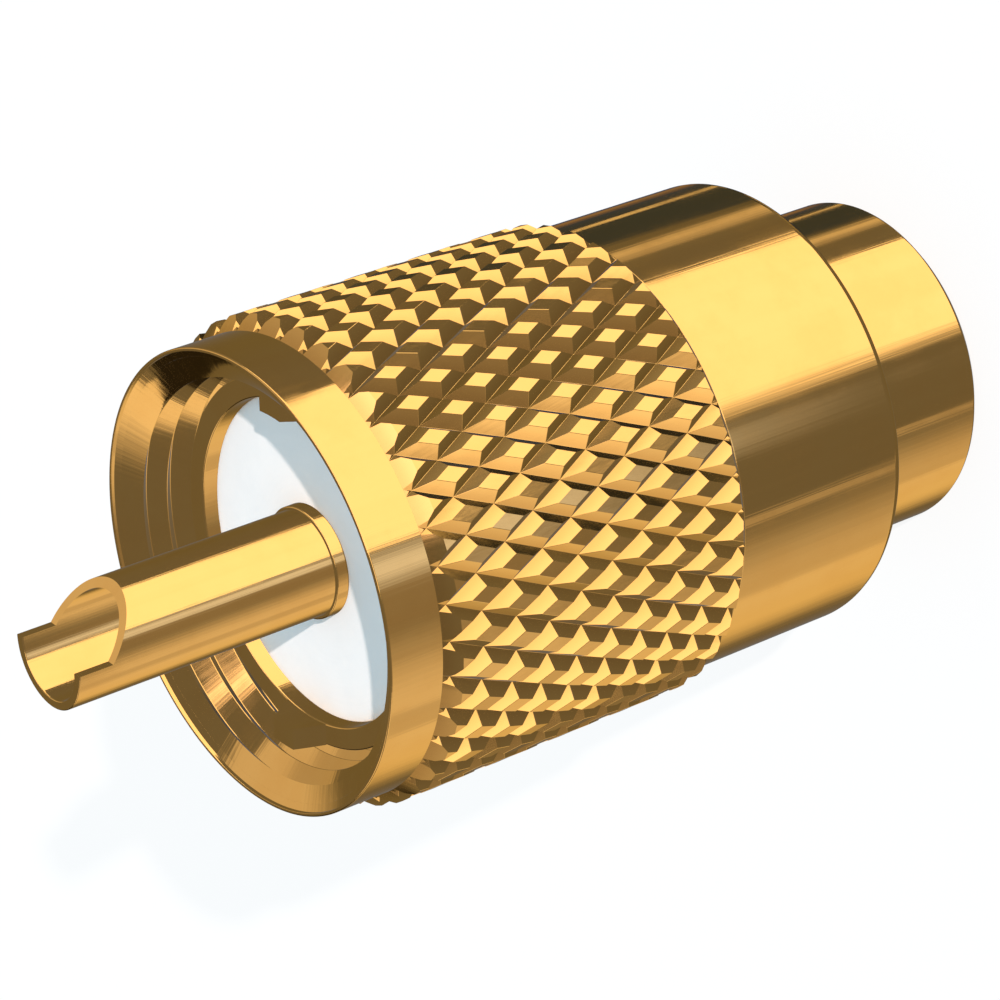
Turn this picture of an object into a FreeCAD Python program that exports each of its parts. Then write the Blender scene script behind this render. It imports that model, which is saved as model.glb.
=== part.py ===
"""UHF coaxial plug, solder type: plug body, coupling nut, insulator and centre contact.

Millimetres. The origin is the centre of the plug body's rear end face, where the cable goes in.
+Z runs along the axis to the tip of the contact, and the contact's solder scoop opens towards -Y.
Heights are measured from the origin unless a size says otherwise.
"""

import FreeCAD
import Part

import math
import os

import Sketcher

# Driving dimensions: alias, value, what it is

SIZES = [
    ("barrel_dia", 12.93, "outside of the plug body's barrel"),
    ("barrel_edge", 0.35, "chamfer on the barrel's rear edge"),
    ("jacket_bore_dia", 10.40, "rear bore, the minor diameter of its 7/16-28 thread"),
    ("jacket_bore_depth", 9.00, "depth of the rear bore"),
    ("jacket_bore_lead", 0.45, "countersink at the mouth of the rear bore"),
    ("braid_bore_dia", 8.70, "bore where the cable's braid is soldered"),
    ("waist_depth", 0.42, "depth of the groove round the barrel at the solder holes"),
    ("waist_width", 5.00, "width of that groove"),
    ("waist_setback", 0.60, "barrel left between that groove and the flange"),
    ("solder_hole_dia", 3.20, "solder holes through the barrel"),
    ("solder_hole_count", 4, "how many solder holes there are"),
    ("thread_dia", 15.88, "major diameter of the nut's 5/8-24 thread"),
    ("thread_depth", 0.59, "radial depth of that thread"),
    ("thread_slack", 0.09, "how far the flange's thread lies inside the nut's"),
    ("flange_height", 15.30, "height of the retaining flange's rear face"),
    ("flange_width", 3.00, "width of the flange"),
    ("flange_edge", 0.30, "chamfer on both edges of the flange"),
    ("spigot_length", 9.07, "length of the front collar that enters the socket"),
    ("spigot_gap", 0.35, "radial gap between the collar and the nut's thread"),
    ("spigot_wall", 0.85, "wall of the collar"),
    ("tooth_rise", 1.06, "how far the locating teeth stand out of the collar's face"),
    ("tooth_tip_width", 0.90, "width of a tooth at its tip"),
    ("tooth_foot_width", 2.36, "width of a tooth at its foot"),
    ("insulator_recess", 0.60, "the insulator's face below the collar's face"),
    ("insulator_length", 9.50, "length of the insulator"),
    ("insulator_round", 0.55, "rounding of the insulator's front edge"),
    ("seat_gap", 0.02, "radial gap between pieces that seat in one another"),
    ("contact_dia", 3.96, "outside of the centre contact"),
    ("contact_wall", 0.33, "wall of the contact's tube"),
    ("contact_reach", 11.18, "insulator's face to the contact's tip"),
    ("contact_collar_rise", 0.16, "radial height of the contact's collar"),
    ("contact_collar_width", 0.52, "thickness of that collar"),
    ("contact_flare_rise", 0.72, "radial height of the contact's rolled rear end"),
    ("contact_flare_width", 0.80, "thickness of the rolled end"),
    ("scoop_length", 1.38, "half-round end of the contact"),
    ("scoop_slant", 1.42, "length of the slanted cut behind it, along the axis"),
    ("nut_gap", 0.15, "radial gap between the nut and the body that it turns on"),
    ("nut_travel_forward", 6.03, "how far the nut can slide forward from where it is shown"),
    ("nut_travel_back", 2.03, "how far it can slide back"),
    ("nut_back_wall", 3.00, "thickness of the nut's rear wall"),
    ("nut_thread_length", 9.50, "front rim to the end of the thread"),
    ("nut_wall", 0.65, "wall between the nut's chamber and the grooves of its knurl"),
    ("nut_back_rise", 0.11, "how far the smooth rear part stands over those grooves"),
    ("nut_edge", 0.40, "rounding of the nut's rear edge"),
    ("nut_collar_width", 2.20, "width of the smooth front collar"),
    ("nut_rim_edge", 0.06, "broken outer edge of the front rim"),
    ("nut_rim_width", 0.29, "width of the front rim"),
    ("nut_lead_depth", 0.55, "depth of the lead-in behind the rim"),
    ("knurl_depth", 0.505, "height of the knurl over its grooves"),
    ("knurl_length", 13.33, "length of the knurled band"),
    ("knurl_cells", 40, "diamonds round the nut"),
    ("knurl_cell_length", 2.896, "length of one diamond along the nut"),
    ("knurl_turn", 3.2, "how far the knurl is turned about the axis, in degrees"),
    ("knurl_land", 0.48, "width of a land as a share of its diamond"),
    ("knurl_bed", 0.10, "how far the blank under the knurl lies below its grooves"),
    ("knurl_bevel", 0.50, "45 degree bevel at the front of the knurl"),
    ("knurl_run_out", 0.12, "bevel at the rear of the knurl"),
]

# Heights and radii that follow from the sizes

PLACES = {
    "barrel_radius": "barrel_dia / 2",
    "jacket_bore_radius": "jacket_bore_dia / 2",
    "braid_bore_radius": "braid_bore_dia / 2",
    "waist_radius": "barrel_radius - waist_depth",
    "waist_top": "flange_height - waist_setback",
    "waist_bottom": "waist_top - waist_width",
    "solder_hole_height": "waist_top - waist_width / 2",
    "thread_inner_radius": "thread_dia / 2 - thread_depth",
    "flange_radius": "thread_dia / 2 - thread_slack",
    "flange_top": "flange_height + flange_width",
    "spigot_radius": "thread_inner_radius - spigot_gap",
    "spigot_bore_radius": "spigot_radius - spigot_wall",
    "spigot_face": "flange_top + spigot_length",
    "tooth_tip": "spigot_face + tooth_rise",
    "insulator_face": "spigot_face - insulator_recess",
    "insulator_back": "insulator_face - insulator_length",
    "insulator_radius": "spigot_bore_radius - seat_gap",
    "insulator_bore_radius": "contact_radius + seat_gap",
    "contact_radius": "contact_dia / 2",
    "contact_bore_radius": "contact_radius - contact_wall",
    "contact_tip": "insulator_face + contact_reach",
    "chamber_radius": "flange_radius + nut_gap",
    "chamber_bottom": "flange_height - nut_travel_forward",
    "chamber_top": "flange_top + nut_travel_back",
    "nut_back": "chamber_bottom - nut_back_wall",
    "nut_front": "chamber_top + nut_thread_length",
    "nut_bore_radius": "barrel_radius + nut_gap",
    "knurl_root_radius": "chamber_radius + nut_wall",
    "knurl_radius": "knurl_root_radius + knurl_depth",
    "knurl_front": "nut_front - nut_collar_width",
    "knurl_back": "knurl_front - knurl_length",
    "nut_back_radius": "knurl_root_radius + nut_back_rise",
}

doc = FreeCAD.newDocument("uhf_plug")
sheet = doc.addObject("Spreadsheet::Sheet", "Sizes")


def fill_sheet():
    for row, (alias, value, note) in enumerate(SIZES, start=1):
        sheet.set(f"A{row}", note)
        sheet.set(f"B{row}", str(value))
        sheet.setAlias(f"B{row}", alias)
    doc.recompute()


def cells(expression):
    """The expression in the sheet's cells, with the names in PLACES written out."""
    words = []
    for word in expression.split():
        if word in PLACES:
            words.append(f"( {cells(PLACES[word])} )")
        elif word[0].isalpha():
            words.append(f"Sizes.{word}")
        else:
            words.append(word)
    return " ".join(words)


def value(expression):
    return float(sheet.evalExpression(cells(expression)))


# Sketches and features


def new_body(name):
    body = doc.addObject("PartDesign::Body", name)
    body.Label = name
    return body


def new_sketch(body, name, plane_role):
    sketch = body.newObject("Sketcher::SketchObject", name)
    plane = [f for f in body.Origin.OriginFeatures if f.Role == plane_role][0]
    sketch.AttachmentSupport = [(plane, "")]
    sketch.MapMode = "FlatFace"
    return sketch


def hold(sketch, kind, line, expression):
    """Ties the start of a line to the sketch's origin, across or up."""
    amount = value(expression)
    if abs(amount) < 1e-9:
        axis = -2 if kind == "DistanceX" else -1
        sketch.addConstraint(Sketcher.Constraint("PointOnObject", line, 1, axis))
        return
    first, second = ((-1, 1), (line, 1)) if amount > 0 else ((line, 1), (-1, 1))
    index = sketch.addConstraint(Sketcher.Constraint(kind, *first, *second, abs(amount)))
    sign = "" if amount > 0 else "-1 * "
    sketch.setExpression(f"Constraints[{index}]", cells(f"{sign}( {expression} )"))


def outline(sketch, corners):
    """A closed outline of straight lines. Each corner is two expressions, across and up."""
    points = [FreeCAD.Vector(value(across), value(up), 0) for across, up in corners]
    first = sketch.GeometryCount
    for start, end in zip(points, points[1:] + points[:1]):
        sketch.addGeometry(Part.LineSegment(start, end))
    for k in range(len(points)):
        joined = first + (k + 1) % len(points)
        sketch.addConstraint(Sketcher.Constraint("Coincident", first + k, 2, joined, 1))
    for k, (across, up) in enumerate(corners):
        hold(sketch, "DistanceX", first + k, across)
        hold(sketch, "DistanceY", first + k, up)


def turned(body, name, corners):
    """Revolves a half section, drawn in the XZ plane, about the part's axis."""
    sketch = new_sketch(body, name + "_section", "XZ_Plane")
    outline(sketch, corners)
    revolution = body.newObject("PartDesign::Revolution", name)
    revolution.Profile = sketch
    revolution.ReferenceAxis = (sketch, ["V_Axis"])
    revolution.Angle = 360
    doc.recompute()
    return revolution


def pocket_through(body, sketch, name, both_ways):
    pocket = body.newObject("PartDesign::Pocket", name)
    pocket.Profile = sketch
    pocket.Type = "ThroughAll"
    pocket.Midplane = both_ways
    doc.recompute()
    return pocket


def round_edge(body, name, feature, radius, height, amount):
    """Rounds the circular edge with this radius at this height."""
    edges = []
    for number, edge in enumerate(feature.Shape.Edges, start=1):
        if not isinstance(edge.Curve, Part.Circle):
            continue
        circle = edge.Curve
        if abs(circle.Radius - value(radius)) < 1e-4 and abs(circle.Center.z - value(height)) < 1e-4:
            edges.append(f"Edge{number}")
    fillet = body.newObject("PartDesign::Fillet", name)
    fillet.Base = (feature, edges)
    fillet.setExpression("Radius", cells(amount))
    doc.recompute()


# Plug body: one turned piece, drilled and milled


def make_plug_body():
    body = new_body("plug_body")
    turned(body, "body_turning", [
        ("jacket_bore_radius + jacket_bore_lead", "0"),
        ("barrel_radius - barrel_edge", "0"),
        ("barrel_radius", "barrel_edge"),
        ("barrel_radius", "waist_bottom"),
        ("waist_radius", "waist_bottom"),
        ("waist_radius", "waist_top"),
        ("barrel_radius", "waist_top"),
        ("barrel_radius", "flange_height"),
        ("flange_radius - flange_edge", "flange_height"),
        ("flange_radius", "flange_height + flange_edge"),
        ("flange_radius", "flange_top - flange_edge"),
        ("flange_radius - flange_edge", "flange_top"),
        ("spigot_radius", "flange_top"),
        ("spigot_radius", "tooth_tip"),
        ("spigot_bore_radius", "tooth_tip"),
        ("spigot_bore_radius", "insulator_back"),
        ("braid_bore_radius", "insulator_back"),
        ("braid_bore_radius", "jacket_bore_depth"),
        ("jacket_bore_radius", "jacket_bore_depth"),
        ("jacket_bore_radius", "jacket_bore_lead"),
    ])
    drill_solder_holes(body)
    mill_teeth(body)
    return body


def drill_solder_holes(body):
    sketch = new_sketch(body, "solder_hole_circle", "XZ_Plane")
    height = value("solder_hole_height")
    diameter = value("solder_hole_dia")
    centre = FreeCAD.Vector(0, height, 0)
    sketch.addGeometry(Part.Circle(centre, FreeCAD.Vector(0, 0, 1), diameter / 2))
    sketch.addConstraint(Sketcher.Constraint("PointOnObject", 0, 3, -2))
    up = sketch.addConstraint(Sketcher.Constraint("DistanceY", -1, 1, 0, 3, height))
    sketch.setExpression(f"Constraints[{up}]", cells("solder_hole_height"))
    across = sketch.addConstraint(Sketcher.Constraint("Diameter", 0, diameter))
    sketch.setExpression(f"Constraints[{across}]", cells("solder_hole_dia"))
    hole = pocket_through(body, sketch, "solder_hole", False)
    pattern = body.newObject("PartDesign::PolarPattern", "solder_holes")
    pattern.Originals = [hole]
    pattern.Axis = (sketch, ["V_Axis"])
    pattern.Angle = 360
    pattern.setExpression("Occurrences", cells("solder_hole_count"))
    body.Tip = pattern
    doc.recompute()


def mill_teeth(body):
    """Cuts the front edge down to the collar's face, except for the two teeth on the Y axis."""
    sketch = new_sketch(body, "tooth_gaps", "XZ_Plane")
    above = "tooth_tip + tooth_rise"
    for side in ("", "-1 * "):
        outline(sketch, [
            (side + "tooth_foot_width / 2", "spigot_face"),
            (side + "spigot_radius * 2", "spigot_face"),
            (side + "spigot_radius * 2", above),
            (side + "tooth_tip_width / 2", above),
            (side + "tooth_tip_width / 2", "tooth_tip"),
        ])
    pocket_through(body, sketch, "teeth", True)


# Insulator: turned, pressed into the front collar


def make_insulator():
    body = new_body("insulator")
    turning = turned(body, "insulator_turning", [
        ("insulator_bore_radius", "insulator_back"),
        ("insulator_radius", "insulator_back"),
        ("insulator_radius", "insulator_face"),
        ("insulator_bore_radius", "insulator_face"),
    ])
    round_edge(
        body, "insulator_edge", turning, "insulator_radius", "insulator_face", "insulator_round"
    )
    return body


# Centre contact: a tube with a collar, a rolled rear end and a solder scoop at its tip


def make_centre_contact():
    body = new_body("centre_contact")
    collar = "contact_radius + contact_collar_rise"
    flare = "contact_radius + contact_flare_rise"
    turned(body, "contact_turning", [
        ("contact_bore_radius", "insulator_back - contact_flare_width / 2"),
        (flare + " - contact_wall", "insulator_back - contact_flare_width"),
        (flare, "insulator_back - contact_flare_width"),
        (flare, "insulator_back"),
        ("contact_radius", "insulator_back"),
        ("contact_radius", "insulator_face"),
        (collar, "insulator_face"),
        (collar, "insulator_face + contact_collar_width"),
        ("contact_radius", "insulator_face + contact_collar_width"),
        ("contact_radius", "contact_tip"),
        ("contact_bore_radius", "contact_tip"),
    ])
    sketch = new_sketch(body, "scoop_outline", "YZ_Plane")
    outline(sketch, [
        ("0", "contact_tip - scoop_length"),
        ("0", "contact_tip + contact_wall"),
        ("-2 * contact_radius", "contact_tip + contact_wall"),
        ("-2 * contact_radius", "contact_tip - scoop_length - 2 * scoop_slant"),
    ])
    pocket_through(body, sketch, "scoop", True)
    return body


# Coupling nut: turned blank, fused with a band of diamond knurl


def make_nut_blank():
    body = new_body("nut_blank")
    turning = turned(body, "nut_turning", [
        ("nut_bore_radius", "nut_back"),
        ("nut_back_radius", "nut_back"),
        ("nut_back_radius", "knurl_back"),
        ("knurl_root_radius - knurl_bed", "knurl_back"),
        ("knurl_root_radius - knurl_bed", "knurl_front"),
        ("knurl_root_radius", "knurl_front"),
        ("knurl_root_radius", "nut_front - nut_rim_edge"),
        ("knurl_root_radius - nut_rim_edge", "nut_front"),
        ("knurl_root_radius - nut_rim_width", "nut_front"),
        ("thread_inner_radius", "nut_front - nut_lead_depth"),
        ("thread_inner_radius", "chamber_top"),
        ("chamber_radius", "chamber_top"),
        ("chamber_radius", "chamber_bottom"),
        ("nut_bore_radius", "chamber_bottom"),
    ])
    round_edge(body, "nut_back_edge", turning, "nut_back_radius", "nut_back", "nut_edge")
    return body


def flat_face(points):
    return Part.Face(Part.makePolygon(points + points[:1]))


def knurl_solid():
    """The lattice of diamonds as one closed solid of flat facets, a little longer than the band.

    The grooves cross at nodes, half a diamond apart round the nut and along it. Each diamond is a
    pyramid on the four nodes around it, cut off flat where it reaches the outside of the knurl.
    """
    count = int(value("knurl_cells"))
    turn = math.radians(value("knurl_turn"))
    step = math.pi / count
    half = value("knurl_cell_length") / 2
    root = value("knurl_root_radius")
    outside = value("knurl_radius")
    land = value("knurl_land")
    apex = (outside - land * root) / (1 - land)
    start = value("knurl_back") - half
    last = math.ceil(value("knurl_length") / half) + 2

    def place(radius, k, level):
        angle = turn + k * step
        height = start + level * half
        return FreeCAD.Vector(radius * math.cos(angle), radius * math.sin(angle), height)

    faces = []
    ends = {0: [], last: []}
    for level in range(last + 1):
        for k in range((level + 1) % 2, 2 * count, 2):
            out = place(1, k, level) - place(0, k, level)
            top = place(apex, k, level)
            nodes = {
                "left": place(root, k - 1, level),
                "down": place(root, k, level - 1),
                "right": place(root, k + 1, level),
                "up": place(root, k, level + 1),
            }
            if level == 0:
                del nodes["down"]
            if level == last:
                del nodes["up"]
            lands = {}
            for side, node in nodes.items():
                share = (outside - node.dot(out)) / (apex - node.dot(out))
                lands[side] = node + (top - node) * share
            faces.append(flat_face(list(lands.values())))
            for side in ("left", "right"):
                for end in ("up", "down"):
                    if end in nodes:
                        faces.append(flat_face([nodes[side], lands[side], lands[end], nodes[end]]))
            if level in ends:
                ends[level] += [nodes["left"], lands["left"], lands["right"]]
    faces += [flat_face(points) for points in ends.values()]
    solid = Part.makeSolid(Part.makeShell(faces))
    if solid.Volume < 0:
        solid.reverse()
    return solid


def make_knurl_envelope():
    """The ring of stock that the knurl lies in, bevelled at both ends."""
    body = new_body("knurl_envelope")
    inside = "knurl_root_radius - 2 * knurl_bed"
    outside = "knurl_radius + knurl_run_out"
    turned(body, "envelope_turning", [
        (inside, "knurl_back"),
        ("knurl_radius - knurl_run_out", "knurl_back"),
        (outside, "knurl_back + 2 * knurl_run_out"),
        (outside, "knurl_front - knurl_bevel - knurl_run_out"),
        ("knurl_radius - knurl_bevel", "knurl_front"),
        (inside, "knurl_front"),
    ])
    return body


def make_coupling_nut():
    lattice = doc.addObject("Part::Feature", "knurl_lattice")
    lattice.Shape = knurl_solid()
    band = doc.addObject("Part::Common", "knurl_band")
    band.Base = lattice
    band.Tool = make_knurl_envelope()
    nut = doc.addObject("Part::Fuse", "coupling_nut")
    nut.Base = make_nut_blank()
    nut.Tool = band
    nut.Label = "coupling_nut"
    doc.recompute()
    return nut


# The finished pieces


def check_document():
    for item in doc.Objects:
        bad = [word for word in item.State if word in ("Invalid", "Error")]
        if bad:
            raise RuntimeError(f"{item.Name} is {bad[0]}")


def write_pieces(pieces):
    os.makedirs("parts", exist_ok=True)
    for piece in pieces:
        shape = piece.Shape
        if shape.isNull() or not shape.isValid() or len(shape.Solids) != 1:
            raise RuntimeError(f"{piece.Label} is not one valid solid")
        shape.exportStep(os.path.join("parts", piece.Label + ".step"))
        box = shape.BoundBox
        print(f"{piece.Label}: {shape.Volume:.1f} mm3, z {box.ZMin:.2f} to {box.ZMax:.2f}")


fill_sheet()
finished = [make_plug_body(), make_insulator(), make_centre_contact(), make_coupling_nut()]
doc.recompute()
check_document()
write_pieces(finished)
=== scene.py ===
import math

import bpy
from mathutils import Matrix, Vector


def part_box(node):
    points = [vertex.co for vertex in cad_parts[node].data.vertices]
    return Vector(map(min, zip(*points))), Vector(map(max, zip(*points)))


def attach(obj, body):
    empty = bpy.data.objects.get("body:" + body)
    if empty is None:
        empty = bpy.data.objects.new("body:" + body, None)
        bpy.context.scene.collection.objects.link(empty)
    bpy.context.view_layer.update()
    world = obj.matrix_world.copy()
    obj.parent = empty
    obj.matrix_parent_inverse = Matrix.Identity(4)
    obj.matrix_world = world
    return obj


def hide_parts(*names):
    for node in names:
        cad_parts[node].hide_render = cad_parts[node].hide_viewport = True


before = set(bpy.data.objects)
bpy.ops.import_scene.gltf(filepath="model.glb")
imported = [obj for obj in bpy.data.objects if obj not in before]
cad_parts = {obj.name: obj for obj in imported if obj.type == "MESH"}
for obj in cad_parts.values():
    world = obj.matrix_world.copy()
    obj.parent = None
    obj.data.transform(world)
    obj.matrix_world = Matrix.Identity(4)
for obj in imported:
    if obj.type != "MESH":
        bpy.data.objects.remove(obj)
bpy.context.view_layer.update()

bl_info = {
    "name": "Screw-on coaxial plug",
    "version": (1, 0, 0),
    "blender": (4, 5, 0),
    "location": "3D View > Sidebar > Plug",
    "description": "Models a gold-plated coaxial plug: turned body, knurled nut, white insulator and centre contact",
    "category": "Add Mesh",
}

MM = 0.001
INCH = 25.4  # In millimetres, for the threads
TURN = 2 * math.pi
MERGED = 1e-6  # Vertices nearer to each other than this become one
TOUCHING = 1e-7  # A vertex nearer than this to a plane or a radius lies on it
TURNED = 24  # Turned parts are shaded smooth over edges up to this angle, in degrees
NEAR_AXIS = 0.5 * MM  # Turned cutters start this far from the axis
CLEAR = 1 * MM  # They reach this far past what they cut
WHITE = (1.0, 1.0, 1.0)
NUT_LOW, NUT_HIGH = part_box("coupling_nut")
BODY_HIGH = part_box("plug_body")[1]
INSULATOR_LOW, INSULATOR_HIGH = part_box("insulator")
CONTACT_LOW, CONTACT_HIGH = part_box("centre_contact")


def length(name, description, default):
    """A size that the panel shows as a length."""
    return bpy.props.FloatProperty(
        name=name, description=description, default=default, min=0, unit="LENGTH", precision=5)


def angle(name, description, default):
    return bpy.props.FloatProperty(
        name=name, description=description, default=math.radians(default), subtype="ANGLE", unit="ROTATION")


def number(name, description, default):
    return bpy.props.FloatProperty(name=name, description=description, default=default, precision=3)


def share(name, description, default):
    return bpy.props.FloatProperty(
        name=name, description=description, default=default, min=0, max=1, subtype="FACTOR", precision=3)


def count(name, description, default):
    return bpy.props.IntProperty(name=name, description=description, default=default, min=3)


def colour(name, description, default):
    return bpy.props.FloatVectorProperty(
        name=name, description=description, default=default, size=3, min=0, max=1, subtype="COLOR")


# Sizes and colours


class NutSizes(bpy.types.PropertyGroup):
    back: length("Rear face", "Height of the nut's rear face", NUT_LOW.z)
    front: length("Front rim", "Height of the nut's front rim", NUT_HIGH.z)
    smooth_radius: length("Rear radius", "Radius of the smooth rear part", 8.76 * MM)
    groove_radius: length("Groove radius", "Radius at the bottom of the knurl's grooves", 8.65 * MM)
    knurl_radius: length("Knurl radius", "Radius over the knurl's lands", 9.155 * MM)
    knurl_back: length("Knurl start", "Height where the knurl starts", 14.30 * MM)
    knurl_front: length("Knurl end", "Height where the knurl ends", 27.63 * MM)
    knurl_bevel: length("Knurl bevel", "Bevel at the knurl's front end", 0.50 * MM)
    run_out: length("Knurl run-out", "How far the knurl's rear bevel runs out behind the knurl's start", 0.20 * MM)
    rear_bevel: length("Rear bevel", "Length along the nut of the bevel at the knurl's rear end", 0.37 * MM)
    groove_flat: length("Groove flat", "How far the grooves' narrow flats stand above their sharp roots", 0.0025 * MM)
    cells: count("Diamonds round", "How many diamonds go round the nut", 40)
    cell_length: length("Diamond length", "Length of one diamond along the nut", 2.896 * MM)
    land: share("Land", "Width of a diamond's flat land as a share of the diamond", 0.48)
    turn: angle("Knurl turn", "How far the knurl is turned about the axis", 3.2)
    worn_edge: length("Worn edge", "Width of the worn edges of each diamond", 0.01 * MM)
    bore_radius: length("Rear bore", "Radius of the bore that turns on the body", 6.615 * MM)
    chamber_radius: length("Chamber", "Radius of the chamber behind the thread", 8.00 * MM)
    chamber_bottom: length("Chamber floor", "Height of the chamber's floor", 9.27 * MM)
    chamber_top: length("Thread end", "Height where the thread ends and the chamber starts", 20.33 * MM)
    edge_round: length("Rear edge", "Rounding of the rear edge", 0.40 * MM)
    rim_width: length("Rim", "Width of the front rim", 0.14 * MM)
    rim_depth: length("Rim depth", "Depth of the straight bore just behind the rim", 0.15 * MM)
    rim_edge: length("Rim edge", "Broken outer edge of the rim", 0.06 * MM)
    lead_depth: length("Lead-in", "Depth of the lead-in behind the rim", 0.55 * MM)
    thread_root: length("Thread root", "Major radius of the nut's thread", 7.94 * MM)
    thread_crest: length("Thread crest", "Minor radius of the nut's thread", 7.35 * MM)
    thread_pitch: length("Pitch", "Pitch of the 24 turns per inch thread", INCH / 24 * MM)
    first_crest: length("First crest", "Height of a crest's middle at the azimuth 0", 29.196 * MM)
    sleeve_radius: length("Thread bed", "Radius of the wall that the thread is cut in", 8.25 * MM)


class BodySizes(bpy.types.PropertyGroup):
    barrel_radius: length("Barrel", "Radius of the barrel", 6.465 * MM)
    barrel_edge: length("Rear chamfer", "Chamfer on the barrel's rear edge", 0.35 * MM)
    waist_radius: length("Waist", "Radius of the groove at the solder holes", 6.045 * MM)
    waist_bottom: length("Waist start", "Height where that groove starts", 9.70 * MM)
    waist_top: length("Waist end", "Height where that groove ends", 14.70 * MM)
    hole_radius: length("Solder hole", "Radius of a solder hole", 1.60 * MM)
    flange_bottom: length("Flange start", "Height of the flange's rear face", 15.30 * MM)
    flange_top: length("Flange end", "Height of the flange's front face", 18.30 * MM)
    flange_edge: length("Flange chamfer", "Chamfer on both edges of the flange", 0.30 * MM)
    thread_crest: length("Flange thread crest", "Major radius of the flange's thread", 7.85 * MM)
    thread_root: length("Flange thread root", "Minor radius of the flange's thread", 7.30 * MM)
    thread_pitch: length("Flange pitch", "Pitch of the flange's thread", INCH / 24 * MM)
    collar_radius: length("Collar", "Radius of the front collar", 7.00 * MM)
    collar_bore: length("Collar bore", "Radius inside the front collar", 6.15 * MM)
    collar_face: length("Collar face", "Height of the collar's face", 27.37 * MM)
    tooth_tip: length("Tooth tip", "Height of the teeth's tips", BODY_HIGH.z)
    tooth_tip_width: length("Tooth tip width", "Width of a tooth at its tip", 0.90 * MM)
    tooth_foot_width: length("Tooth foot width", "Width of a tooth at its foot", 2.36 * MM)
    seat: length("Insulator seat", "Height of the step that the insulator sits on", INSULATOR_LOW.z)
    braid_radius: length("Braid bore", "Radius of the bore for the braid", 4.35 * MM)
    jacket_depth: length("Jacket bore depth", "Depth of the rear thread", 9.00 * MM)
    jacket_crest: length("Rear thread crest", "Minor radius of the rear thread", 5.20 * MM)
    jacket_root: length("Rear thread root", "Major radius of the rear thread", 5.56 * MM)
    jacket_pitch: length("Rear pitch", "Pitch of the 28 turns per inch thread", INCH / 28 * MM)
    jacket_lead: length("Rear lead-in", "Countersink at the mouth of the rear bore", 0.45 * MM)
    jacket_wall: length("Rear thread bed", "Radius of the wall that the rear thread is cut in", 5.80 * MM)


class InsulatorSizes(bpy.types.PropertyGroup):
    back: length("Rear face", "Height of the insulator's rear face", INSULATOR_LOW.z)
    face: length("Front face", "Height of the insulator's front face", INSULATOR_HIGH.z)
    radius: length("Radius", "Radius of the insulator", 6.13 * MM)
    bore_radius: length("Bore", "Radius of the hole for the contact", 2.00 * MM)
    edge_round: length("Edges", "Rounding of the edges", 0.06 * MM)


class ContactSizes(bpy.types.PropertyGroup):
    back: length("Rear end", "Height of the rolled rear end", CONTACT_LOW.z)
    tip: length("Tip", "Height of the contact's tip", CONTACT_HIGH.z)
    radius: length("Radius", "Outside radius of the contact", 1.98 * MM)
    wall: length("Wall", "Wall of the tube", 0.33 * MM)
    collar_radius: length("Collar", "Radius of the collar in front of the insulator", 2.11 * MM)
    collar_width: length("Collar width", "Thickness of that collar", 0.52 * MM)
    flare_radius: length("Rolled end", "Radius of the rolled rear end", 2.70 * MM)
    flare_width: length("Rolled end width", "Thickness of the rolled end", 0.80 * MM)
    scoop_length: length("Half-round end", "Length of the half-round end", 1.38 * MM)
    scoop_slant: length("Slant", "Length of the slanted cut, along the axis", 1.42 * MM)


class Finishes(bpy.types.PropertyGroup):
    gold: colour("Gold", "Polished gold plating", (0.960, 0.520, 0.145))
    deep_gold: colour("Deep gold", "Gold where it lies thicker or is handled", (0.900, 0.450, 0.110))
    # Painted shade: this darker gold is laid into the knurl's grooves, deepest at their roots
    groove_shade_gold: colour("Groove gold", "Gold down in the knurl's grooves", (0.780, 0.390, 0.100))
    edge_gold: colour("Edge gold", "Gold seen at a low angle", (1.000, 0.800, 0.480))
    insulator: colour("Insulator", "White insulating plastic", (0.930, 0.935, 0.930))
    insulator_shade: colour("Insulator shade", "The plastic's faint mottle", (0.860, 0.870, 0.870))
    floor: colour("Floor", "Pale studio floor", (0.900, 0.900, 0.900))


class Studio(bpy.types.PropertyGroup):
    key_azimuth: angle("Key azimuth", "Where the key lamp stands, round the plug", 219.6)
    key_elevation: angle("Key elevation", "How high the key lamp stands", 24)
    key_strength: number("Key strength", "Strength of the key lamp", 3.7)
    key_colour: colour("Key colour", "Colour of the key lamp", (1.0, 0.85, 0.78))
    fill_strength: number("Fill strength", "Strength of the soft light from all round", 1.0)
    fill_colour: colour("Fill colour", "Colour of the soft light from all round", (0.65, 0.87, 1.0))
    backdrop_share: share("Backdrop", "How much of the floor is plain backdrop white", 0.86)
    tent: number("Tent", "Brightness of the grey tent that the metal mirrors", 0.178)
    tent_colour: colour("Tent colour", "Colour of that tent", (0.92, 1.0, 1.08))


# Small steps that several operators use


def only(obj):
    """Leaves nothing selected but this object."""
    if bpy.context.mode != "OBJECT":
        bpy.ops.object.mode_set(mode="OBJECT")
    bpy.ops.object.select_all(action="DESELECT")
    obj.select_set(True)
    bpy.context.view_layer.objects.active = obj


def fresh(name, add, location=(0, 0, 0), **given):
    """Adds something with nothing else selected, and gives it and its data their name."""
    if bpy.context.mode != "OBJECT":
        bpy.ops.object.mode_set(mode="OBJECT")
    bpy.ops.object.select_all(action="DESELECT")
    add(location=location, **given)
    obj = bpy.context.object
    obj.name = obj.data.name = name
    return obj


def edit_all():
    """Starts to edit the active object, with all of it selected."""
    bpy.ops.object.mode_set(mode="EDIT")
    bpy.ops.mesh.select_all(action="SELECT")


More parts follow.
